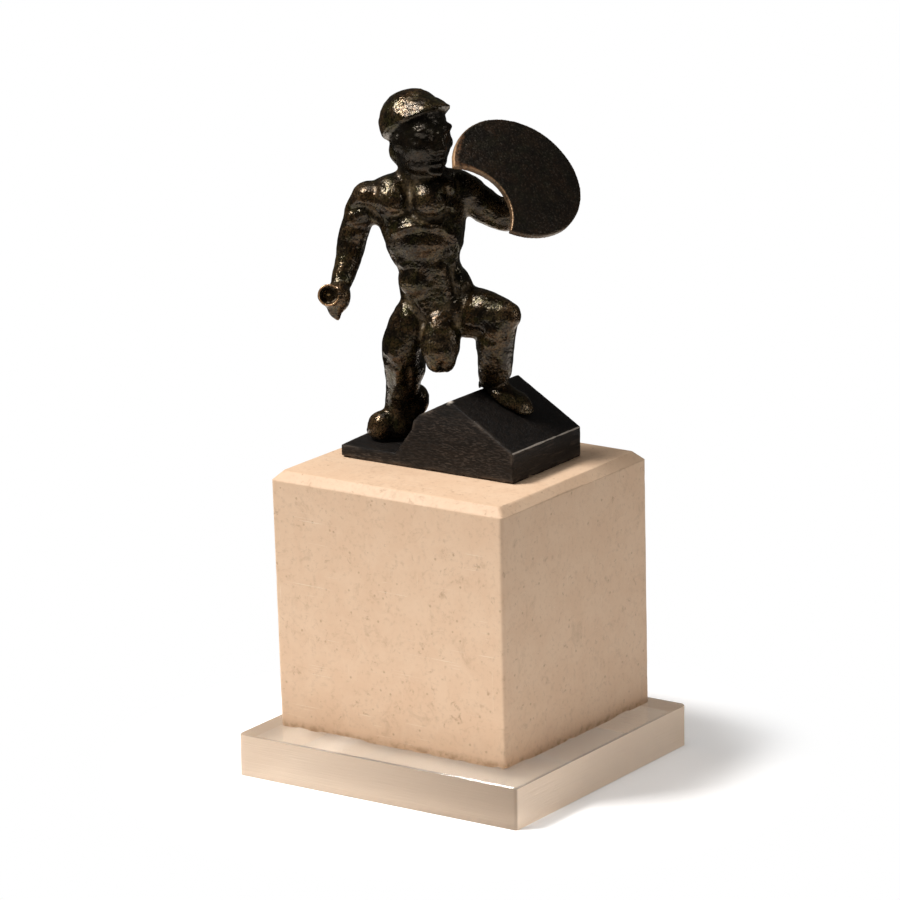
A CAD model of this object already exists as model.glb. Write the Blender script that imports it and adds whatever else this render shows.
"""Dress the mounted bronze pygmy: its surfaces, finishes, light and camera around the fixed frame.

The figure is shaped in parts of its own height, 1 mm each: x to the viewer's right, y away from
the viewer, z up from the shelf under its right foot. Everything else is in metres.
"""

import logging
import math
from collections.abc import Callable, Iterable, Sequence
from dataclasses import dataclass
from enum import Enum
from typing import Any

import bmesh
import bpy
import numpy as np
from mathutils import Matrix, Vector, noise
from mathutils.bvhtree import BVHTree


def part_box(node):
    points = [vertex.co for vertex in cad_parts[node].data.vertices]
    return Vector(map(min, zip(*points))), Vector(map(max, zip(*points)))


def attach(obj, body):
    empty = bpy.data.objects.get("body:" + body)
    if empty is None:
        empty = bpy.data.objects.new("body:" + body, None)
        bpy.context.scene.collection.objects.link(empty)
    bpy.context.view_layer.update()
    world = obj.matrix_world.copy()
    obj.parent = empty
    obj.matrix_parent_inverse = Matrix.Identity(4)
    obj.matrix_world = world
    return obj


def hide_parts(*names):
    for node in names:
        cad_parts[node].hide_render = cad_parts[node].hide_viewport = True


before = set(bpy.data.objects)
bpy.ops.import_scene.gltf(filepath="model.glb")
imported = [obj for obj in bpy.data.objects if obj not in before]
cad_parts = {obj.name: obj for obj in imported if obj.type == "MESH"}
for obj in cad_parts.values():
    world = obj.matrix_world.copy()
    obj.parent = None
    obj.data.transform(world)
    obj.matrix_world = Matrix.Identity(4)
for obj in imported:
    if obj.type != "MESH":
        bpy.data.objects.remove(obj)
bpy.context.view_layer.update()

LOG = logging.getLogger("pygmy")
MM = 0.001

Colour = tuple[float, float, float]
Place = tuple[float, float, float]


class Slot(Enum):
    """Material slots of the record."""

    BRONZE = "bronze"
    WOOD = "black_wood"
    STONE = "limestone"
    ACRYLIC = "acrylic"


# Shader maths


class Value:
    """A shader socket that takes part in Python expressions."""

    def __init__(self, graph: "Graph", socket: bpy.types.NodeSocket) -> None:
        """Wrap a socket.

        Args:
            graph: The graph that the socket belongs to.
            socket: The output socket.
        """
        self.graph = graph
        self.socket = socket

    def __add__(self, other: "Value | float") -> "Value":
        """Return self + other."""
        return self.graph.math("ADD", self, other)

    def __sub__(self, other: "Value | float") -> "Value":
        """Return self - other."""
        return self.graph.math("SUBTRACT", self, other)

    def __rsub__(self, other: float) -> "Value":
        """Return other - self."""
        return self.graph.math("SUBTRACT", other, self)

    def __mul__(self, other: "Value | float") -> "Value":
        """Return self * other."""
        return self.graph.math("MULTIPLY", self, other)

    __radd__ = __add__
    __rmul__ = __mul__

    def clip(self) -> "Value":
        """Return self held between 0 and 1."""
        return self.graph.math("ADD", self, 0.0, clamp=True)

    def step(self, low: float, high: float) -> "Value":
        """Return a smooth mask that is 0 at low and 1 at high.

        Args:
            low: Where the mask starts; it may be above high.
            high: Where the mask is full.

        Returns:
            The mask.
        """
        settings = {"interpolation_type": "SMOOTHSTEP"}
        inputs = {"Value": self, "From Min": low, "From Max": high}
        return self.graph.node("ShaderNodeMapRange", settings, inputs)


class Graph:
    """A material's node graph, built by expressions."""

    def __init__(self, name: str) -> None:
        """Start a material with one Principled shader.

        Args:
            name: The material's name.
        """
        self.material = bpy.data.materials.new(name)
        self.material.use_nodes = True
        self.tree = self.material.node_tree
        self.shader = self.tree.nodes["Principled BSDF"]

    def node(self, kind: str, settings: dict[str, Any], inputs: dict[Any, Any],
             output: str | int = 0) -> Value:
        """Add a node.

        Args:
            kind: The node's type.
            settings: Attributes that are set first.
            inputs: Values or links of its sockets, by name or number.
            output: The socket that is returned.

        Returns:
            The chosen output.
        """
        made = self.tree.nodes.new(kind)
        for name, value in settings.items():
            setattr(made, name, value)
        for name, value in inputs.items():
            self._feed(made.inputs[name], value)
        return Value(self, made.outputs[output])

    def _feed(self, socket: bpy.types.NodeSocket, value: Any) -> None:
        """Link a wrapped output to a socket, or set the socket's own value."""
        if isinstance(value, Value):
            self.tree.links.new(value.socket, socket)
        elif isinstance(value, tuple) and socket.type == "RGBA":
            socket.default_value = (*value, 1.0)
        else:
            socket.default_value = value

    def math(self, operation: str, a: Any, b: Any, clamp: bool = False) -> Value:
        """Add a Math node."""
        settings = {"operation": operation, "use_clamp": clamp}
        return self.node("ShaderNodeMath", settings, {0: a, 1: b})

    def mix(self, factor: Any, a: Any, b: Any) -> Value:
        """Mix two colours.

        Args:
            factor: Share of b.
            a: The first colour.
            b: The second colour.

        Returns:
            The mixed colour.
        """
        return self.node("ShaderNodeMix", {"data_type": "RGBA"}, {0: factor, 6: a, 7: b}, 2)

    def place(self, scale: Place = (1.0, 1.0, 1.0), turn: Place = (0.0, 0.0, 0.0)) -> Value:
        """Return the place on the object, stretched and turned.

        Args:
            scale: Stretch along x, y and z.
            turn: Turn about x, y and z in degrees.

        Returns:
            A vector.
        """
        where = self.node("ShaderNodeTexCoord", {}, {}, "Object")
        angles = tuple(math.radians(a) for a in turn)
        inputs = {"Vector": where, "Scale": scale, "Rotation": angles}
        return self.node("ShaderNodeMapping", {}, inputs)

    def cloud(self, size: float, detail: float = 3.0, rough: float = 0.55, warp: float = 0.0,
              where: Value | None = None) -> Value:
        """Return fractal noise.

        Args:
            size: Size of the largest features in metres.
            detail: Number of finer layers.
            rough: Strength of the finer layers.
            warp: Distortion.
            where: The coordinates, or the place on the object.

        Returns:
            The noise, about 0.5.
        """
        inputs = {"Vector": where or self.place(), "Scale": 1.0 / size, "Detail": detail,
                  "Roughness": rough, "Distortion": warp}
        return self.node("ShaderNodeTexNoise", {"noise_dimensions": "3D"}, inputs, "Fac")

    def spots(self, size: float, where: Value) -> Value:
        """Return the distance to the nearest scattered point, in cells."""
        inputs = {"Vector": where, "Scale": 1.0 / size}
        return self.node("ShaderNodeTexVoronoi", {"feature": "F1"}, inputs, "Distance")

    def painted(self, name: str) -> Value:
        """Return a named attribute of the mesh."""
        settings = {"attribute_type": "GEOMETRY", "attribute_name": name}
        return self.node("ShaderNodeAttribute", settings, {}, "Fac")

    def facing(self, axis: str) -> Value:
        """Return a component of the surface normal."""
        normal = self.node("ShaderNodeNewGeometry", {}, {}, "Normal")
        return self.node("ShaderNodeSeparateXYZ", {}, {0: normal}, axis)

    def height(self) -> Value:
        """Return the height of the place on the object."""
        return self.node("ShaderNodeSeparateXYZ", {}, {0: self.place()}, "Z")

    def bump(self, height: Value, depth: float) -> Value:
        """Return a normal bent by a height.

        Args:
            height: The height, 0 to 1.
            depth: Depth in metres of a height of 1.

        Returns:
            The normal.
        """
        inputs = {"Height": height, "Distance": depth, "Strength": 1.0}
        return self.node("ShaderNodeBump", {}, inputs)

    def finish(self, **sockets: Any) -> bpy.types.Material:
        """Feed the shader and return the material.

        Args:
            sockets: Values by socket name, with underscores for spaces.

        Returns:
            The material.
        """
        for name, value in sockets.items():
            self._feed(self.shader.inputs[name.replace("_", " ")], value)
        return self.material


# Finishes


@dataclass(frozen=True)
class BronzeFinish:
    """Dark glossy bronze, its hollows filled with tan earth, its skin pitted."""

    name: str = "dark_bronze"
    black: Colour = (0.009, 0.0065, 0.0042)
    olive: Colour = (0.034, 0.031, 0.009)
    warm: Colour = (0.088, 0.045, 0.016)
    dust: Colour = (0.118, 0.079, 0.036)
    worn: Colour = (0.62, 0.36, 0.18)
    fleck: Colour = (0.105, 0.070, 0.040)
    sheen: Colour = (1.0, 0.90, 0.78)
    roughness: float = 0.15
    metallic: float = 0.55
    dots: float = 0.5
    film: float = 0.38
    rubbed: float = 0.10
    patch_size: float = 2.6 * MM
    warm_size: float = 4.0 * MM
    film_size: float = 3.2 * MM
    fleck_size: float = 0.9 * MM
    speckle_size: float = 0.38 * MM
    pit_size: float = 0.80 * MM
    grit_size: float = 0.85 * MM
    grain_size: float = 0.45 * MM
    pit_depth: float = 0.15 * MM

    def build(self) -> bpy.types.Material:
        """Return the material; it reads the attributes hollow, basin, edge and soot."""
        g = Graph(self.name)
        patches = g.cloud(self.patch_size, 5.0, 0.62, 0.6)
        flecks = g.cloud(self.fleck_size, 4.0, 0.65)
        soot = g.painted("soot")
        clean = 1.0 - soot
        dusty = self._dusty(g, patches, flecks, soot)
        colour = g.mix(patches.step(0.44, 0.62), self.black, self.olive)
        warmth = g.cloud(self.warm_size, 4.0, 0.6, 0.4, g.place(turn=(40, 10, 70)))
        warmth = warmth.step(0.44, 0.64) * flecks.step(0.30, 0.58) * 0.8
        colour = g.mix(warmth.clip(), colour, self.warm)
        colour = g.mix(dusty, colour, self.dust)
        colour = g.mix((soot * 0.75).clip(), colour, self.black)
        speckle = g.cloud(self.speckle_size, 3.0, 0.6, 0.0, g.place(turn=(35, 5, 50)))
        colour = g.mix((speckle.step(0.52, 0.38) * 0.9).clip(), colour, self.black)
        colour = g.mix((speckle.step(0.56, 0.68) * clean * self.dots).clip(), colour, self.fleck)
        high = g.painted("basin").step(0.34, 0.08) * speckle.step(0.40, 0.56) * self.rubbed
        colour = g.mix((high * clean).clip(), colour, self.worn)
        colour = g.mix(g.painted("edge") * flecks.step(0.26, 0.50), colour, self.worn)
        grit = g.cloud(self.grit_size, 3.0, 0.5, 0.4, g.place(turn=(70, 25, 0)))
        rough = (self.roughness + dusty * 0.38 + soot * 0.12 + (grit - 0.5) * 0.20).clip()
        return g.finish(Base_Color=colour, Roughness=rough, Specular_IOR_Level=0.6,
                        Specular_Tint=self.sheen,
                        Metallic=(self.metallic * (1.0 - dusty * 0.8)).clip(),
                        Normal=self._relief(g, flecks, grit))

    def _dusty(self, g: Graph, patches: Value, flecks: Value, soot: Value) -> Value:
        """Return the mask of earth, thick in the hollows and a broken film elsewhere.

        Args:
            g: The graph.
            patches: Broad noise.
            flecks: Fine noise.
            soot: Where the patina is soot-black.

        Returns:
            The mask.
        """
        hollow = g.painted("hollow").step(0.50, 0.90)
        low = hollow * 0.35 + g.painted("basin").step(0.44, 0.74) * 0.65
        film = g.cloud(self.film_size, 6.0, 0.65, 0.5, g.place(turn=(15, 65, 20)))
        broken = 0.20 + flecks.step(0.34, 0.62) * 0.6 + patches * 0.3
        dusty = ((low + film.step(0.48, 0.60) * self.film) * broken).clip()
        return (dusty * (1.0 - soot * 0.8)).clip()

    def _relief(self, g: Graph, flecks: Value, grit: Value) -> Value:
        """Return the normal of the pitted skin."""
        pits = g.spots(self.pit_size, g.place(turn=(20, 50, 10))).step(0.05, 0.40)
        grain = g.cloud(self.grain_size, 2.0, 0.5)
        return g.bump(pits * 0.25 + grit + flecks * 0.25 + grain * 0.35, self.pit_depth)


@dataclass(frozen=True)
class WoodFinish:
    """Black-stained wood with worn edges."""

    name: str = "black_wood"
    black: Colour = (0.0030, 0.0025, 0.0021)
    brown: Colour = (0.014, 0.009, 0.006)
    speck: Colour = (0.12, 0.092, 0.070)
    chalk: Colour = (0.62, 0.55, 0.47)
    grain_size: float = 0.55 * MM
    band_size: float = 3.0 * MM
    pore_size: float = 0.14 * MM
    saw_size: float = 0.30 * MM
    relief: float = 0.05 * MM

    def build(self) -> bpy.types.Material:
        """Return the material; it reads the attributes edge, rub and chip."""
        g = Graph(self.name)
        grain = g.cloud(self.grain_size, 4.0, 0.6, 0.2, g.place((0.16, 1.0, 1.0)))
        bands = g.cloud(self.band_size, 3.0, 0.5, 0.5, g.place((0.25, 1.0, 1.0)))
        pores = g.cloud(self.pore_size, 2.0, 0.6, 0.0, g.place((0.14, 1.0, 1.0)))
        pores = pores.step(0.50, 0.68)
        saw = g.cloud(self.saw_size, 3.0, 0.6, 0.2, g.place((1.0, 0.08, 1.0), (40, 0, 0)))
        end = g.facing("X").step(0.6, 0.9)
        front = g.facing("Y").step(-0.6, -0.9)
        colour = g.mix((grain.step(0.40, 0.68) * 0.8 + bands * 0.2).clip(), self.black, self.brown)
        pale = pores * front * (0.15 + bands.step(0.35, 0.65) * 0.45)
        colour = g.mix(pale.clip(), colour, self.speck)
        colour = g.mix((saw.step(0.54, 0.70) * end * 0.40).clip(), colour, self.speck)
        worn = g.painted("edge") * bands.step(0.38, 0.62) * 0.6
        colour = g.mix(worn.clip(), colour, self.speck)
        colour = g.mix((g.painted("rub").step(0.25, 0.60) * 0.75).clip(), colour, self.chalk)
        colour = g.mix(g.painted("chip"), colour, self.chalk)
        rough = (0.46 + (grain - 0.5) * 0.3 + front * 0.10).clip()
        return g.finish(Base_Color=colour, Roughness=rough, Metallic=0.0, Specular_IOR_Level=0.28,
                        Normal=g.bump(grain + pores * 0.6 + saw * end, self.relief))


@dataclass(frozen=True)
class LimestoneFinish:
    """Peach-beige limestone with brown specks, faint scratches and dirt at its foot."""

    name: str = "limestone"
    pale: Colour = (0.79, 0.560, 0.380)
    peach: Colour = (0.76, 0.522, 0.345)
    brown: Colour = (0.36, 0.205, 0.105)
    scratch: Colour = (0.90, 0.74, 0.58)
    foot: float = 8.3 * MM
    grime_height: float = 1.5 * MM
    mottle_size: float = 6.0 * MM
    fine_size: float = 0.9 * MM
    stain_size: float = 4.0 * MM
    mark_size: float = 1.5 * MM
    dot_spacing: float = 2.6 * MM
    grime_size: float = 1.6 * MM
    relief: float = 0.05 * MM

    def build(self) -> bpy.types.Material:
        """Return the material."""
        g = Graph(self.name)
        mottle = g.cloud(self.mottle_size, 6.0, 0.66, 0.5)
        fine = g.cloud(self.fine_size, 4.0, 0.6)
        colour = g.mix(mottle.step(0.36, 0.64), self.pale, self.peach)
        colour = g.mix((fine.step(0.50, 0.80) * 0.26).clip(), colour, self.brown)
        stain = g.cloud(self.stain_size, 5.0, 0.72, 1.0, g.place(turn=(15, 70, 33)))
        colour = g.mix((stain.step(0.54, 0.74) * 0.26).clip(), colour, self.brown)
        specks = self._specks(g)
        colour = g.mix((specks * 0.58).clip(), colour, self.brown)
        lines = self._scratches(g)
        colour = g.mix((lines * 0.60).clip(), colour, self.scratch)
        grime = g.cloud(self.grime_size, 4.0, 0.6)
        dirt = g.height().step(self.foot + self.grime_height, self.foot)
        dirt = dirt * (0.25 + grime.step(0.42, 0.66) * 0.5)
        colour = g.mix(dirt.clip(), colour, self.brown)
        return g.finish(Base_Color=colour, Roughness=0.62, Metallic=0.0,
                        Normal=g.bump(fine * 0.6 + lines * 0.4 - specks * 1.2, self.relief))

    def _specks(self, g: Graph) -> Value:
        """Return a mask of ragged marks in some places and lone dots."""
        lone = g.cloud(self.mottle_size, 3.0, 0.6, 0.0, g.place(turn=(5, 20, 60)))
        marks = g.cloud(self.mark_size, 5.0, 0.72, 0.6, g.place(turn=(30, 10, 20)))
        marks = marks.step(0.58, 0.68) * lone.step(0.42, 0.62)
        dots = g.spots(self.dot_spacing, g.place(turn=(8, 33, 51))).step(0.12, 0.06)
        return (marks * 0.8 + dots * 0.7).clip()

    def _scratches(self, g: Graph) -> Value:
        """Return a mask of thin straight scratches in two directions."""
        steep = g.cloud(0.16 * MM, 1.0, 0.5, 0.0, g.place((1.0, 1.0, 0.015)))
        slanted = g.cloud(0.20 * MM, 1.0, 0.5, 0.0, g.place((0.012, 1.0, 1.0), (0, 27, 0)))
        rare = g.cloud(7.0 * MM, 2.0, 0.5, 0.0, g.place(turn=(70, 15, 5)))
        steep = steep.step(0.70, 0.78) * rare.step(0.56, 0.66)
        return (steep + slanted.step(0.68, 0.76) * rare.step(0.50, 0.40)).clip()


@dataclass(frozen=True)
class AcrylicFinish:
    """Clear acrylic, polished or left from the saw."""

    name: str
    tint: Colour
    roughness: float
    clear: float
    alpha: float = 1.0
    streaks: float = 0.0
    streak_size: float = 0.35 * MM
    dim: Colour | None = None

    def build(self) -> bpy.types.Material:
        """Return the material; with a dim colour it reads the attribute shade."""
        g = Graph(self.name)
        tint = g.mix(g.painted("shade"), self.tint, self.dim) if self.dim else self.tint
        sockets: dict[str, Any] = {"Base_Color": tint, "Roughness": self.roughness,
                                   "Transmission_Weight": self.clear, "Alpha": self.alpha,
                                   "IOR": 1.49, "Metallic": 0.0}
        if self.streaks:
            lines = g.cloud(self.streak_size, 3.0, 0.6, 0.0, g.place((0.04, 0.04, 1.0)))
            sockets["Normal"] = g.bump(lines, self.streaks)
        return g.finish(**sockets)


@dataclass(frozen=True)
class PaperFinish:
    """White paper that the camera sees burn out to pure white away from the object."""

    name: str = "paper"
    colour: Colour = (0.94, 0.94, 0.94)
    white: Colour = (1.0, 1.0, 1.0)
    roughness: float = 0.9
    glow: float = 0.21
    near: float = 46 * MM
    far: float = 68 * MM

    def build(self) -> bpy.types.Material:
        """Return the material."""
        g = Graph(self.name)
        away = g.node("ShaderNodeVectorMath", {"operation": "LENGTH"}, {0: g.place()}, "Value")
        seen = g.node("ShaderNodeLightPath", {}, {}, "Is Camera Ray")
        burnt = g.node("ShaderNodeEmission", {}, {"Color": self.white, "Strength": 1.0})
        shaded = Value(g, g.shader.outputs[0])
        share = away.step(self.near, self.far) * seen
        mixed = g.node("ShaderNodeMixShader", {}, {0: share, 1: shaded, 2: burnt})
        g.tree.links.new(mixed.socket, g.tree.nodes["Material Output"].inputs["Surface"])
        return g.finish(Base_Color=self.colour, Roughness=self.roughness,
                        Emission_Color=self.colour, Emission_Strength=self.glow)


@dataclass(frozen=True)
class EarthFinish:
    """Golden-brown earth left in the socket."""

    name: str = "earth"
    dark: Colour = (0.14, 0.075, 0.025)
    gold: Colour = (0.75, 0.47, 0.18)
    grain_size: float = 0.5 * MM
    grain_depth: float = 0.1 * MM

    def build(self) -> bpy.types.Material:
        """Return the material."""
        g = Graph(self.name)
        grain = g.cloud(self.grain_size, 4.0, 0.6)
        colour = g.mix(grain.step(0.38, 0.66), self.dark, self.gold)
        return g.finish(Base_Color=colour, Roughness=0.5, Normal=g.bump(grain, self.grain_depth))


# Modelling helpers


def pick(*objs: bpy.types.Object) -> None:
    """Select only these objects and make the last one active."""
    bpy.ops.object.select_all(action="DESELECT")
    for obj in objs:
        obj.select_set(True)
        bpy.context.view_layer.objects.active = obj


def edit(obj: bpy.types.Object, work: Callable[[], None]) -> None:
    """Run operators on all of an object's mesh in edit mode.

    Args:
        obj: The object.
        work: Calls the operators.
    """
    pick(obj)
    bpy.ops.object.mode_set(mode="EDIT")
    bpy.ops.mesh.select_all(action="SELECT")
    work()
    bpy.ops.object.mode_set(mode="OBJECT")


def modify(obj: bpy.types.Object, kind: str, **settings: Any) -> None:
    """Add a modifier and apply it.

    Args:
        obj: The object.
        kind: The modifier's type.
        settings: The modifier's settings.
    """
    pick(obj)
    modifier = obj.modifiers.new(kind.title(), kind)
    for name, value in settings.items():
        setattr(modifier, name, value)
    bpy.ops.object.modifier_apply(modifier=modifier.name)


def copy_of(node: str, name: str) -> bpy.types.Object:
    """Return a free copy of a CAD node with its doubles merged.

    Args:
        node: The node's name.
        name: The copy's name.

    Returns:
        The copy, at the origin.
    """
    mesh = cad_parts[node].data.copy()
    mesh.materials.clear()
    obj = bpy.data.objects.new(name, mesh)
    bpy.context.scene.collection.objects.link(obj)
    edit(obj, lambda: bpy.ops.mesh.remove_doubles(threshold=1e-6))
    return obj


def cut_up(obj: bpy.types.Object, places: dict[int, Iterable[float]]) -> None:
    """Dissolve an object's flats and cut them into a grid.

    Args:
        obj: The object.
        places: Heights of the cuts along each axis.
    """

    def work() -> None:
        """Dissolve the flats, then cut through all of the mesh."""
        bpy.ops.mesh.dissolve_limited(angle_limit=math.radians(0.5))
        for axis, heights in places.items():
            normal = [0.0, 0.0, 0.0]
            normal[axis] = 1.0
            for height in heights:
                bpy.ops.mesh.select_all(action="SELECT")
                bpy.ops.mesh.bisect(plane_co=[height * n for n in normal], plane_no=normal)

    edit(obj, work)


def spaced(low: float, high: float, fine: float, coarse: float, band: float) -> list[float]:
    """Return cuts that are close near both ends.

    Args:
        low: One end.
        high: The other end.
        fine: Spacing near the ends.
        coarse: Spacing in the middle.
        band: Width of the close cuts.

    Returns:
        The places of the cuts.
    """
    near = list(np.arange(low + fine, low + band, fine))
    far = [low + high - x for x in near]
    middle = list(np.arange(low + band, high - band, coarse))
    return near + middle + far


def points_of(mesh: bpy.types.Mesh) -> np.ndarray:
    """Return a mesh's vertices as rows."""
    points = np.empty(len(mesh.vertices) * 3, dtype=np.float32)
    mesh.vertices.foreach_get("co", points)
    return points.reshape(-1, 3).astype(float)


def normals_of(mesh: bpy.types.Mesh) -> np.ndarray:
    """Return a mesh's vertex normals as rows."""
    normals = np.empty(len(mesh.vertices) * 3, dtype=np.float32)
    mesh.vertex_normals.foreach_get("vector", normals)
    return normals.reshape(-1, 3).astype(float)


def move_points(mesh: bpy.types.Mesh, points: np.ndarray) -> None:
    """Give a mesh's vertices new places."""
    mesh.vertices.foreach_set("co", points.astype(np.float32).ravel())
    mesh.update()


def paint(mesh: bpy.types.Mesh, name: str, values: np.ndarray) -> None:
    """Store a value for each vertex under a name."""
    attribute = mesh.attributes.new(name, "FLOAT", "POINT")
    attribute.data.foreach_set("value", np.clip(values, 0.0, 1.0).astype(np.float32))


def fractal(points: np.ndarray, size: float, layers: int = 3) -> np.ndarray:
    """Return fractal noise at each point, about 0.

    Args:
        points: The places.
        size: Size of the largest features, in the points' unit.
        layers: Number of layers.

    Returns:
        One value a point, mostly within 1.
    """
    scaled = points / size
    return np.array([noise.fractal(Vector(p), 1.0, 2.0, layers) for p in scaled])


def neighbour_mean(mesh: bpy.types.Mesh, values: np.ndarray, rounds: int) -> np.ndarray:
    """Return values averaged over each vertex's neighbours, again and again.

    Args:
        mesh: The mesh that joins them.
        values: One row a vertex.
        rounds: How many times.

    Returns:
        The averaged rows.
    """
    ends = np.empty(len(mesh.edges) * 2, dtype=np.int32)
    mesh.edges.foreach_get("vertices", ends)
    ends = ends.reshape(-1, 2)
    count = np.zeros(len(values))
    np.add.at(count, ends.ravel(), 1.0)
    for _ in range(rounds):
        total = values.copy()
        np.add.at(total, ends[:, 0], values[ends[:, 1]])
        np.add.at(total, ends[:, 1], values[ends[:, 0]])
        values = total / (count + 1.0).reshape(-1, *[1] * (values.ndim - 1))
    return values


def paint_hollows(mesh: bpy.types.Mesh, name: str, rounds: int, reach: float) -> None:
    """Store how hollow the surface is at each vertex, 0.5 where it is flat.

    Args:
        mesh: The mesh.
        name: The attribute's name.
        rounds: How far the surface is compared.
        reach: Depth that counts as fully hollow, in metres.
    """
    points = points_of(mesh)
    lift = ((neighbour_mean(mesh, points, rounds) - points) * normals_of(mesh)).sum(axis=1)
    paint(mesh, name, 0.5 + 0.5 * neighbour_mean(mesh, lift, 2 + rounds // 8) / reach)


def paint_evenly(mesh: bpy.types.Mesh, **values: float) -> None:
    """Store one value all over a mesh under each name."""
    for name, value in values.items():
        paint(mesh, name, np.full(len(mesh.vertices), value))


def points_in(place: Matrix, points: np.ndarray) -> np.ndarray:
    """Return points within a frame, as rows of x, y and z."""
    back = place.inverted()
    return (points @ np.array(back.to_3x3()).T + np.array(back.translation)).T


def present(obj: bpy.types.Object, node: str, slot: Slot, *materials: bpy.types.Material,
            angle: float = 180.0) -> None:
    """Dress a finished piece and hang it on the frame.

    Args:
        obj: The piece.
        node: The CAD node that it stands for.
        slot: Its slot of the record.
        materials: Its materials, in the order of its faces' numbers.
        angle: Edges sharper than this, in degrees, stay sharp.
    """
    for material in materials:
        obj.data.materials.append(material)
    pick(obj)
    bpy.ops.object.shade_smooth_by_angle(angle=math.radians(angle))
    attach(obj, "root")
    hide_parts(node)
    LOG.info("%s: %d faces", obj.name, len(obj.data.polygons))


# Stand


@dataclass
class AcrylicPlate:
    """The clear plate at the foot: polished faces, sawn sides that dim along the front."""

    node: str = "acrylic_plate"
    fine: float = 2 * MM
    coarse: float = 5 * MM
    band: float = 4 * MM
    skin: float = 0.4 * MM
    shade_left: float = 0.15
    shade_right: float = 0.95
    polished: AcrylicFinish = AcrylicFinish("clear_acrylic", (1.0, 0.88, 0.73), roughness=0.04,
                                            clear=0.8, alpha=0.55)
    sawn: AcrylicFinish = AcrylicFinish("sawn_acrylic", (0.98, 0.79, 0.61), roughness=0.5,
                                        clear=0.4, streaks=0.09 * MM, dim=(0.42, 0.31, 0.22))

    def build(self) -> None:
        """Build the plate."""
        obj = copy_of(self.node, "plate")
        low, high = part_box(self.node)
        cut_up(obj, {0: spaced(low.x, high.x, self.fine, self.coarse, self.band)})
        for face in obj.data.polygons:
            face.material_index = 0 if abs(face.normal.z) > 0.5 else 1
        points = points_of(obj.data)
        along = np.clip((points[:, 0] - low.x) / (high.x - low.x), 0.0, 1.0)
        shade = self.shade_left + (self.shade_right - self.shade_left) * along
        paint(obj.data, "shade", np.where(points[:, 1] < low.y + self.skin, shade, 0.0))
        present(obj, self.node, Slot.ACRYLIC, self.polished.build(), self.sawn.build(), angle=30.0)


@dataclass
class StoneBlock:
    """The limestone block, with nicked edges and a slightly uneven skin."""

    node: str = "stone_block"
    seat: float = 0.28 * MM
    fine: float = 0.30 * MM
    coarse: float = 1.3 * MM
    band: float = 2.6 * MM
    wave: float = 0.035 * MM
    wave_size: float = 7 * MM
    nick: float = 0.34 * MM
    nick_size: float = 2.4 * MM
    nick_reach: float = 1.0 * MM
    foot_reach: float = 3.0 * MM
    finish: LimestoneFinish = LimestoneFinish()

    def build(self) -> None:
        """Build the block."""
        obj = copy_of(self.node, "block")
        low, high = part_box(self.node)
        cuts = {a: spaced(low[a], high[a], self.fine, self.coarse, self.band) for a in range(3)}
        cut_up(obj, cuts)
        mesh = obj.data
        points = points_of(mesh)
        normals = normals_of(mesh)
        middle = (np.array(low) + np.array(high)) / 2
        half = (np.array(high) - np.array(low)) / 2
        inset = np.sort(half - np.abs(points - middle), axis=1)
        near_edge = np.clip(1.0 - inset[:, 1] / self.nick_reach, 0.0, 1.0)
        rough = fractal(points, self.nick_size, 4)
        nicks = np.clip((rough - 0.20) / 0.40, 0.0, 1.0) * near_edge
        nicks *= np.clip((points[:, 2] - low.z) / self.foot_reach, 0.15, 1.0)
        shift = self.wave * fractal(points, self.wave_size, 2) - self.nick * nicks
        points += normals * np.minimum(shift, 0.0)[:, None]
        points[:, 2] -= self.seat * (points[:, 2] < low.z + 0.01 * MM)
        move_points(mesh, points)
        present(obj, self.node, Slot.STONE, self.finish.build(), angle=24.0)


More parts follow.
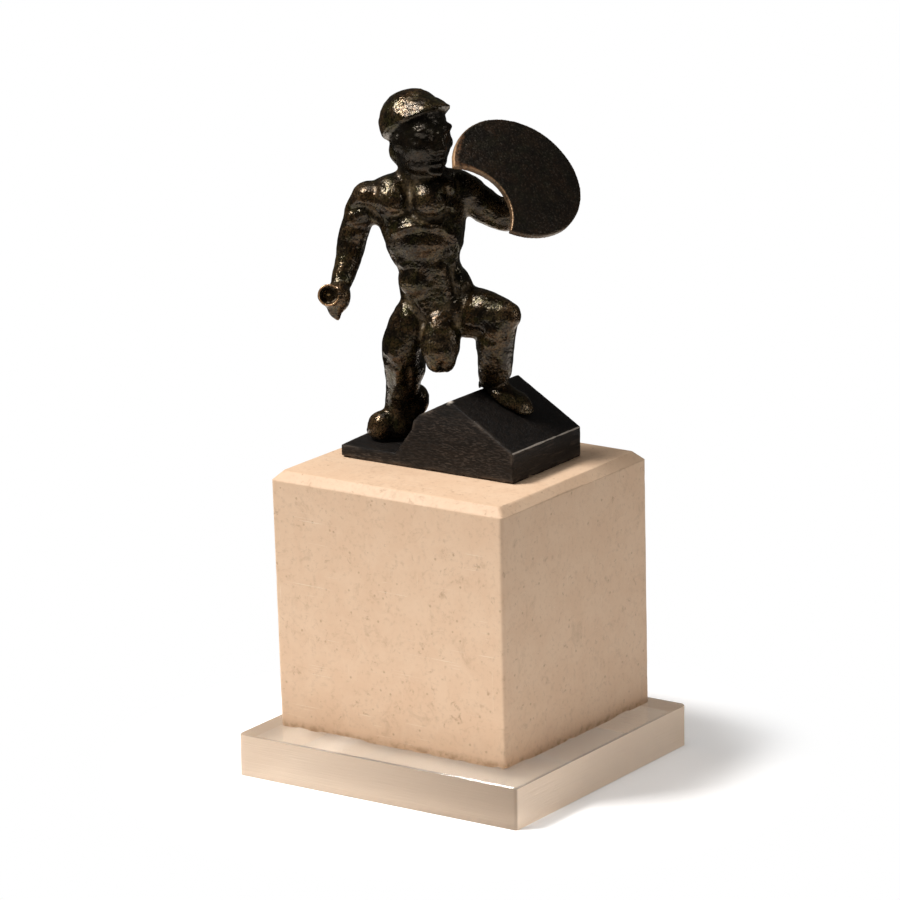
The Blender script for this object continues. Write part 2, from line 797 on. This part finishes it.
@dataclass
class WoodWedge:
    """The black wedge, its edges rubbed and chips of stain gone at the ridge."""

    node: str = "wood_wedge"
    seat: float = 0.28 * MM
    spacing: float = 0.45 * MM
    rubbed: float = 0.42 * MM
    ragged_size: float = 1.8 * MM
    chips: tuple[tuple[Place, float], ...] = (((0.00195, -0.0062, 0.0702), 0.85 * MM),
                                              ((-0.0062, -0.0064, 0.0662), 0.55 * MM))
    chip_rim: float = 0.25 * MM
    wear: float = 0.05 * MM
    grain: float = 0.015 * MM
    grain_size: float = 0.8 * MM
    shortest_edge: float = 1.5 * MM
    sharpness: float = math.radians(15)
    low_end: float = 5.4 * MM
    line_reach: float = 0.30 * MM
    finish: WoodFinish = WoodFinish()

    def build(self) -> None:
        """Build the wedge."""
        obj = copy_of(self.node, "wedge")
        sharp = self._edges(obj.data)
        low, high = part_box(self.node)
        cuts = {a: np.arange(low[a] + self.spacing, high[a], self.spacing) for a in range(3)}
        cut_up(obj, cuts)
        mesh = obj.data
        points = points_of(mesh)
        near = np.clip(1.0 - self._reach(points, sharp) / self.rubbed, 0.0, 1.0)
        ragged = fractal(points, self.ragged_size, 3)
        paint(mesh, "edge", near * np.clip(0.75 + 1.2 * ragged, 0.0, 1.0))
        line = self._rubbed_line(points, sharp, high.x, low.z)
        paint(mesh, "rub", line * (0.9 + 0.5 * ragged))
        bare = [size * (1.0 + 0.8 * ragged) - np.linalg.norm(points - np.array(place), axis=1)
                for place, size in self.chips]
        paint(mesh, "chip", np.max(bare, axis=0) / self.chip_rim)
        wear = self.wear * near * np.clip(0.4 + ragged, 0.0, 1.0)
        fibres = fractal(points * np.array([0.3, 1.0, 1.0]), self.grain_size, 2)
        wear += self.grain * np.abs(fibres)
        points -= normals_of(mesh) * wear[:, None]
        points[:, 2] -= self.seat * (points[:, 2] < low.z + 0.03 * MM)
        move_points(mesh, points)
        present(obj, self.node, Slot.WOOD, self.finish.build(), angle=28.0)

    def _edges(self, mesh: bpy.types.Mesh) -> list[tuple[np.ndarray, np.ndarray]]:
        """Return the ends of the long edges between flats."""
        bm = bmesh.new()
        bm.from_mesh(mesh)
        found = []
        for edge in bm.edges:
            long_enough = edge.calc_length() > self.shortest_edge
            if long_enough and edge.calc_face_angle(0.0) > self.sharpness:
                found.append(tuple(np.array(v.co) for v in edge.verts))
        bm.free()
        return found

    def _rubbed_line(self, points: np.ndarray, edges: list[tuple[np.ndarray, np.ndarray]],
                     right: float, foot: float) -> np.ndarray:
        """Return 1 along the top edge of the low end and 0 away from it.

        Args:
            points: The places.
            edges: The ends of the wedge's edges.
            right: Where the low end stands.
            foot: Height of the wedge's underside.

        Returns:
            One value a point.
        """
        top = []
        for start, end in edges:
            at_end = min(start[0], end[0]) > right - 3 * MM
            off = max(abs(place[2] - foot - self.low_end) for place in (start, end))
            if at_end and off < 0.7 * MM and abs(start[1] - end[1]) > 10 * MM:
                top.append((start, end))
        return np.clip(1.0 - self._reach(points, top) / self.line_reach, 0.0, 1.0)

    def _reach(self, points: np.ndarray,
               edges: list[tuple[np.ndarray, np.ndarray]]) -> np.ndarray:
        """Return each point's distance to the nearest edge."""
        nearest = np.full(len(points), np.inf)
        for start, end in edges:
            run = end - start
            along = np.clip((points - start) @ run / (run @ run), 0.0, 1.0)
            away = np.linalg.norm(points - start - along[:, None] * run, axis=1)
            nearest = np.minimum(nearest, away)
        return nearest


# Figure


@dataclass(frozen=True)
class Stroke:
    """A furrow or a ridge drawn on the skin from the front.

    The path runs over x and z. A negative depth raises a ridge.
    """

    path: tuple[tuple[float, float], ...]
    radius: float
    depth: float
    away: float = 30.0

    def drawn_on(self, tree: BVHTree, turn: Matrix) -> np.ndarray:
        """Return the stroke's points on the skin.

        Args:
            tree: The skin.
            turn: The frame that the path is drawn in.

        Returns:
            Rows of places.
        """
        ray = turn.to_3x3() @ Vector((0.0, 1.0, 0.0))
        found = []
        for (x0, z0), (x1, z1) in zip(self.path, self.path[1:]):
            steps = max(2, math.ceil(math.hypot(x1 - x0, z1 - z0) / (0.3 * self.radius)))
            for i in range(steps + 1):
                t = i / steps
                start = Vector((x0 + t * (x1 - x0), -self.away, z0 + t * (z1 - z0)))
                hit = tree.ray_cast(turn @ start, ray)[0]
                if hit:
                    found.append(hit)
        return np.array(found)


def carve(mesh: bpy.types.Mesh, strokes: Sequence[Stroke], turn: Matrix) -> None:
    """Press strokes into a skin.

    Args:
        mesh: The skin.
        strokes: The strokes.
        turn: The frame that they are drawn in.
    """
    points = points_of(mesh)
    normals = normals_of(mesh)
    tree = BVHTree.FromPolygons([v.co for v in mesh.vertices], [p.vertices for p in mesh.polygons])
    shift = np.zeros_like(points)
    for stroke in strokes:
        places = stroke.drawn_on(tree, turn)
        if not len(places):
            LOG.warning("a stroke misses the skin: %s", stroke)
            continue
        box_low = places.min(axis=0) - stroke.radius
        box_high = places.max(axis=0) + stroke.radius
        close = np.flatnonzero(((points > box_low) & (points < box_high)).all(axis=1))
        near = np.full(len(close), np.inf)
        for place in places:
            near = np.minimum(near, ((points[close] - place) ** 2).sum(axis=1))
        weight = np.clip(1.0 - near / stroke.radius ** 2, 0.0, 1.0) ** 2
        shift[close] -= normals[close] * (stroke.depth * weight)[:, None]
    move_points(mesh, points + shift)


BODY_STROKES = [
    Stroke(((-4.75, 49.4), (-4.7, 47.2), (-4.8, 45.0)), 0.8, 0.18),
    Stroke(((-4.2, 44.6), (-2.9, 43.6), (-1.0, 43.2), (0.9, 43.5), (2.2, 44.6)), 1.0, 0.28),
    Stroke(((2.4, 48.8), (2.5, 46.8), (2.3, 45.2)), 0.9, 0.2),
    Stroke(((-7.2, 41.4), (-5.4, 42.3), (-3.4, 42.8), (-1.2, 42.8), (0.4, 42.4)), 0.6, -0.16),
    Stroke(((1.3, 34.2), (1.7, 32.2), (2.3, 30.0)), 0.6, -0.2),
    Stroke(((3.1, 49.6), (3.1, 47.6), (2.9, 46.0)), 0.6, -0.15),
]

FACE_STROKES = [
    Stroke(((1.05, 0.05), (2.1, 0.55), (3.25, 0.0)), 0.35, 0.22),
    Stroke(((-1.05, 0.05), (-2.1, 0.55), (-3.25, 0.0)), 0.35, 0.22),
    Stroke(((1.15, -0.35), (2.1, -0.6), (3.1, -0.3)), 0.35, 0.16),
    Stroke(((-1.15, -0.35), (-2.1, -0.6), (-3.1, -0.3)), 0.35, 0.16),
    Stroke(((-1.5, -4.42), (0.0, -4.32), (1.5, -4.42)), 0.42, 0.30),
]


@dataclass
class Figure:
    """The cast figure: body, shield, socket and the earth in it."""

    node: str = "bronze_figure"
    origin: Place = (-0.00635, 0.0023, 0.0589)
    turn: float = math.radians(33.9)
    voxel: float = 0.27
    lump: float = 0.11
    lump_size: float = 2.4
    pit: float = 0.16
    pit_size: float = 0.9
    head: Place = (-2.8, -0.7, 59.1)
    head_turn: float = math.radians(38)
    head_nod: float = math.radians(2)
    head_reach: float = 12.0
    cap_facet: Place = (-0.676, -0.305, 0.672)
    facet_depth: float = 0.5
    brow: float = 1.5
    brow_slope: float = 0.753
    chin: float = -8.5
    shield_centre: Place = (15.0, -4.3, 51.15)
    shield_facing: Place = (0.426, -0.583, 0.692)
    shield_long_way: Place = (0.771, -0.165, -0.614)
    shield_radius: float = 12.7
    shield_thickness: float = 1.1
    shield_rise: float = 1.2
    shield_room: float = 0.03
    shield_voxel: float = 0.15
    shield_dent: float = 0.05
    rim_width: float = 0.32
    lip_width: float = 0.26
    bite_radius: float = 9.25
    bite_depth: float = 7.0
    bite_towards: tuple[float, float] = (-0.240, -0.971)
    grip: float = 0.45
    hand: Place = (2.5, 2.3, 1.9)
    socket_face: Place = (-19.5, -6.3, 30.2)
    socket_facing: Place = (0.0, -0.966, 0.26)
    socket_radius: float = 2.0
    socket_wall: float = 0.35
    socket_length: float = 4.6
    bore_depth: float = 1.6
    rubbed_mouth: float = 0.25
    plug_radius: float = 1.05
    plug_round: float = 0.4
    plug_recess: float = 0.8
    plug_sink: float = 0.1

    def build(self) -> None:
        """Build the figure's pieces."""
        bronze = BronzeFinish().build()
        self._build_body(bronze)
        self._build_shield()
        self._build_socket(bronze)

    def world(self) -> Matrix:
        """Return the matrix from the figure's parts to metres."""
        turn = Matrix.Rotation(self.turn, 4, "Z")
        return Matrix.Translation(self.origin) @ turn @ Matrix.Scale(MM, 4)

    def head_frame(self) -> Matrix:
        """Return the head's frame in parts: x left, y back, z up."""
        turn = Matrix.Rotation(self.head_turn, 4, "Z") @ Matrix.Rotation(self.head_nod, 4, "X")
        return Matrix.Translation(self.head) @ turn

    def shield_frame(self) -> Matrix:
        """Return the shield's frame in parts: x its long way, z out of its face."""
        facing = Vector(self.shield_facing).normalized()
        long_way = Vector(self.shield_long_way)
        long_way = (long_way - facing * facing.dot(long_way)).normalized()
        spin = Matrix((long_way, facing.cross(long_way), facing)).transposed()
        return Matrix.Translation(self.shield_centre) @ spin.to_4x4()

    def bite_centre(self) -> Vector:
        """Return the middle of the bite in the shield's frame."""
        reach = self.shield_radius + self.bite_radius - self.bite_depth
        return Vector((*self.bite_towards, 0.0)) * reach

    def socket_frame(self) -> Matrix:
        """Return the socket's frame in parts, z out of its mouth."""
        facing = Vector(self.socket_facing).normalized()
        side = facing.orthogonal().normalized()
        spin = Matrix((side, facing.cross(side), facing)).transposed()
        return Matrix.Translation(self.socket_face) @ spin.to_4x4()

    def _turned(self, name: str, profile: Sequence[tuple[float, float]], steps: int,
                place: Matrix) -> bpy.types.Object:
        """Return a turned solid.

        Args:
            name: The object's name.
            profile: Radius and height of the outline, from axis to axis.
            steps: Number of sides.
            place: The frame whose z is the axis.

        Returns:
            The solid, in parts.
        """
        mesh = bpy.data.meshes.new(name)
        edges = [(i, i + 1) for i in range(len(profile) - 1)]
        mesh.from_pydata([(r, 0.0, z) for r, z in profile], edges, [])
        obj = bpy.data.objects.new(name, mesh)
        bpy.context.scene.collection.objects.link(obj)

        def work() -> None:
            """Spin the outline and close its poles."""
            bpy.ops.mesh.spin(steps=steps, angle=2 * math.pi, center=(0, 0, 0), axis=(0, 0, 1))
            bpy.ops.mesh.select_all(action="SELECT")
            bpy.ops.mesh.remove_doubles(threshold=1e-4)
            bpy.ops.mesh.normals_make_consistent(inside=False)

        edit(obj, work)
        mesh.transform(place)
        return obj

    def _shield_solid(self, name: str, grow: float) -> bpy.types.Object:
        """Return the domed, bitten disc, grown on all sides."""
        radius = self.shield_radius + grow
        front = [(radius * share, self.shield_rise * (1.0 - share ** 2) + grow)
                 for share in (i / 24 for i in range(25))]
        depth = self.shield_thickness + 2 * grow
        back = [(r, z - depth) for r, z in reversed(front)]
        obj = self._turned(name, front + back, 144, self.shield_frame())
        pick()
        bpy.ops.mesh.primitive_cylinder_add(vertices=160, radius=self.bite_radius - grow, depth=9.0)
        bite = bpy.context.object
        bite.data.transform(self.shield_frame() @ Matrix.Translation(self.bite_centre()))
        modify(obj, "BOOLEAN", object=bite, operation="DIFFERENCE", solver="EXACT")
        bpy.data.objects.remove(bite)
        return obj

    def _build_body(self, bronze: bpy.types.Material) -> None:
        """Shape the body from the CAD solid."""
        obj = copy_of(self.node, "body")
        obj.data.transform(self.world().inverted())
        shield = self._shield_solid("shield_room", self.shield_room)
        modify(obj, "BOOLEAN", object=shield, operation="DIFFERENCE", solver="EXACT")
        bpy.data.objects.remove(shield)
        self._add_hand(obj)
        modify(obj, "REMESH", mode="VOXEL", voxel_size=self.voxel)
        modify(obj, "SMOOTH", factor=0.5, iterations=5)
        carve(obj.data, BODY_STROKES, Matrix.Identity(4))
        carve(obj.data, FACE_STROKES, self.head_frame())
        self._flatten_cap(obj.data)
        self._weather(obj.data)
        self._darken_face(obj.data)
        obj.data.transform(self.world())
        paint_hollows(obj.data, "hollow", 12, 0.14 * MM)
        paint_hollows(obj.data, "basin", 90, 0.70 * MM)
        paint_evenly(obj.data, edge=0.0)
        present(obj, self.node, Slot.BRONZE, bronze)

    def _add_hand(self, obj: bpy.types.Object) -> None:
        """Add the hand's grip on the shield's back as a further shell."""
        pick()
        bpy.ops.mesh.primitive_ico_sphere_add(subdivisions=4, radius=1.0)
        ball = bpy.context.object
        ball.data.transform(Matrix.Diagonal((*self.hand, 1.0)))
        sunk = Matrix.Translation((0, 0, self.grip - self.hand[2]))
        ball.data.transform(self.shield_frame() @ sunk)
        pick(ball, obj)
        bpy.ops.object.join()

    def _flatten_cap(self, mesh: bpy.types.Mesh) -> None:
        """Hammer a flat facet into the cap's side."""
        points = points_of(mesh)
        inward = -np.array(self.head_frame().to_3x3() @ Vector(self.cap_facet).normalized())
        height = (np.array(self.head) - points) @ inward
        near = np.linalg.norm(points - np.array(self.head), axis=1) < self.head_reach
        over = np.where(near, height - (height[near].max() - self.facet_depth), 0.0)
        move_points(mesh, points + inward * np.clip(over, 0.0, None)[:, None])

    def _weather(self, mesh: bpy.types.Mesh) -> None:
        """Give the skin the lumps and pits of an old casting."""
        points = points_of(mesh)
        pits = fractal(points + 40.0, self.pit_size, 2)
        shift = self.lump * fractal(points, self.lump_size, 2) + 0.03 * pits
        shift -= self.pit * np.clip(pits - 0.25, 0.0, 0.4)
        move_points(mesh, points + normals_of(mesh) * shift[:, None])

    def _darken_face(self, mesh: bpy.types.Mesh) -> None:
        """Store where soot-black patina covers the face under the cap."""
        _, y, z = points_in(self.head_frame(), points_of(mesh))
        below = np.clip((self.brow - z - self.brow_slope * y) / 0.5, 0.0, 1.0)
        above = np.clip((z - self.chin) / 2.0, 0.0, 1.0)
        forward = np.clip((3.0 - y) / 2.0, 0.0, 1.0)
        paint(mesh, "soot", below * above * forward)

    def _build_shield(self) -> None:
        """Build the thin shield, its rims rubbed bright."""
        obj = self._shield_solid("shield", 0.0)
        modify(obj, "REMESH", mode="VOXEL", voxel_size=self.shield_voxel)
        modify(obj, "SMOOTH", factor=0.5, iterations=4)
        mesh = obj.data
        points = points_of(mesh)
        dents = fractal(points, 3.2, 3)
        pits = np.clip(fractal(points + 9.0, 0.8, 2) - 0.3, 0.0, 0.5)
        shift = self.shield_dent * (dents - pits)
        move_points(mesh, points + normals_of(mesh) * shift[:, None])
        x, y, z = points_in(self.shield_frame(), points)
        radius = np.hypot(x, y)
        inward = self.shield_radius - radius
        middle = self.bite_centre()
        bite = np.hypot(x - middle.x, y - middle.y) - self.bite_radius
        leftward = np.clip((9.0 - points[:, 0]) / 5.0, 0.0, 1.0)
        rim = np.clip(1.0 - np.abs(inward) / self.rim_width, 0.0, 1.0) * (0.15 + 0.85 * leftward)
        band = np.clip(1.25 - inward / 1.8, 0.0, 1.0) * leftward
        band = np.maximum(band, np.clip(1.2 - bite / 1.3, 0.0, 1.0) * (0.45 + 0.55 * leftward))
        below = self.shield_rise * (1.0 - (radius / self.shield_radius) ** 2) - z
        lip = np.clip(1.0 - np.abs(bite) / self.lip_width, 0.0, 1.0)
        lip *= np.clip(1.0 - below / 0.32, 0.22, 1.0)
        mesh.transform(self.world())
        paint_hollows(mesh, "hollow", 8, 0.12 * MM)
        paint(mesh, "basin", band * np.clip(0.85 + 0.8 * dents, 0.0, 1.0))
        paint(mesh, "edge", np.maximum(0.7 * rim, 0.8 * lip))
        paint_evenly(mesh, soot=0.0)
        finish = BronzeFinish("shield_bronze", black=(0.006, 0.0045, 0.0032),
                              olive=(0.012, 0.011, 0.006), warm=(0.020, 0.011, 0.006),
                              dust=(0.19, 0.070, 0.016), fleck=(0.075, 0.062, 0.048),
                              roughness=0.34, metallic=0.35, dots=0.6, film=0.05, rubbed=0.0,
                              pit_depth=0.12 * MM)
        present(obj, self.node, Slot.BRONZE, finish.build())

    def _build_socket(self, bronze: bpy.types.Material) -> None:
        """Build the tube in the fist and the earth in its bore."""
        bore = self.socket_radius - self.socket_wall
        lip = 0.5 * self.socket_wall
        rim = [(self.socket_radius - lip + lip * math.cos(a), -lip + lip * math.sin(a))
               for a in np.linspace(0.0, math.pi, 9)]
        profile = [(0.0, -self.socket_length), (self.socket_radius, -self.socket_length), *rim,
                   (bore, -self.bore_depth), (0.0, -self.bore_depth)]
        tube = self._turned("socket", profile, 64, self.socket_frame())
        height = points_in(self.socket_frame(), points_of(tube.data))[2]
        tube.data.transform(self.world())
        paint_evenly(tube.data, hollow=0.5, basin=0.5, soot=0.0)
        paint(tube.data, "edge", 0.8 * np.clip(1.0 + height / self.rubbed_mouth, 0.0, 1.0))
        present(tube, self.node, Slot.BRONZE, bronze, angle=40.0)
        top = -self.plug_recess - self.plug_round
        floor = -self.bore_depth - self.plug_sink
        knob = [(self.plug_radius * math.sin(a), top + self.plug_round * math.cos(a))
                for a in np.linspace(0.0, math.pi / 2, 7)]
        knob += [(self.plug_radius, floor), (0.0, floor)]
        plug = self._turned("plug", knob, 40, self.socket_frame())
        plug.data.transform(self.world())
        present(plug, self.node, Slot.BRONZE, EarthFinish().build(), angle=50.0)


# Studio


@dataclass
class Lamp:
    """A soft area light aimed at the object."""

    name: str
    place: Place
    size: float
    power: float
    colour: Colour

    def build(self, target: Vector) -> None:
        """Build the light.

        Args:
            target: Where it points.
        """
        data = bpy.data.lights.new(self.name, "AREA")
        data.size = self.size
        data.energy = self.power
        data.color = self.colour
        obj = bpy.data.objects.new(self.name, data)
        bpy.context.scene.collection.objects.link(obj)
        obj.location = self.place
        obj.rotation_euler = (target - Vector(self.place)).to_track_quat("-Z", "Y").to_euler()


@dataclass
class Studio:
    """Camera, lights and floor."""

    eye: Place = (0.539627, -0.807137, 0.320560)
    ahead: Place = (-0.53828, 0.80176, -0.25968)
    right: Place = (0.83215, 0.55439, -0.01328)
    up: Place = (-0.13331, 0.22324, 0.96560)
    lens: float = 220.0
    sensor: float = 36.0
    target: Place = (0.0, 0.0, 0.065)
    floor_size: float = 0.32
    floor_drop: float = 0.05 * MM
    paper: Colour = (1.0, 1.0, 1.0)
    sky: float = 0.045
    beyond: float = 1.0

    def build(self) -> None:
        """Build the studio."""
        self._build_camera()
        self._build_floor()
        lamps = [
            Lamp("key", (-1.00, -0.95, 2.14), 0.62, 71.0, (1.0, 0.985, 0.97)),
            Lamp("top", (-0.20, -0.20, 2.30), 1.10, 16.0, (1.0, 0.985, 0.97)),
            Lamp("edge", (1.74, 0.45, 0.56), 0.40, 4.2, (1.0, 0.98, 0.96)),
        ]
        for lamp in lamps:
            lamp.build(Vector(self.target))
        self._build_sky()
        bpy.context.scene.view_settings.view_transform = "Standard"

    def _build_sky(self) -> None:
        """Build a dim sky that the camera sees as white paper."""
        world = bpy.data.worlds.new("studio")
        world.use_nodes = True
        tree = world.node_tree
        rays = tree.nodes.new("ShaderNodeLightPath")
        level = tree.nodes.new("ShaderNodeMix")
        level.inputs["A"].default_value = self.sky
        level.inputs["B"].default_value = self.beyond
        tree.links.new(rays.outputs["Is Camera Ray"], level.inputs["Factor"])
        tree.links.new(level.outputs["Result"], tree.nodes["Background"].inputs["Strength"])
        tree.nodes["Background"].inputs["Color"].default_value = (*self.paper, 1.0)
        bpy.context.scene.world = world

    def _build_camera(self) -> None:
        """Build the camera at the photographer's place."""
        data = bpy.data.cameras.new("camera")
        data.lens = self.lens
        data.sensor_width = self.sensor
        data.clip_start = 0.05
        data.clip_end = 20.0
        camera = bpy.data.objects.new("camera", data)
        bpy.context.scene.collection.objects.link(camera)
        back = -Vector(self.ahead)
        spin = Matrix((Vector(self.right), Vector(self.up), back)).transposed()
        camera.matrix_world = Matrix.Translation(self.eye) @ spin.to_4x4()
        bpy.context.scene.camera = camera

    def _build_floor(self) -> None:
        """Build the pale floor."""
        pick()
        bpy.ops.mesh.primitive_plane_add(size=self.floor_size, location=(0, 0, -self.floor_drop))
        floor = bpy.context.object
        floor.name = "floor"
        floor.data.materials.append(PaperFinish().build())


def main() -> None:
    """Build every piece and the studio."""
    logging.basicConfig(level=logging.INFO, format="%(name)s: %(message)s")
    for part in (AcrylicPlate(), StoneBlock(), WoodWedge(), Figure(), Studio()):
        part.build()


if __name__ == "__main__":
    main()
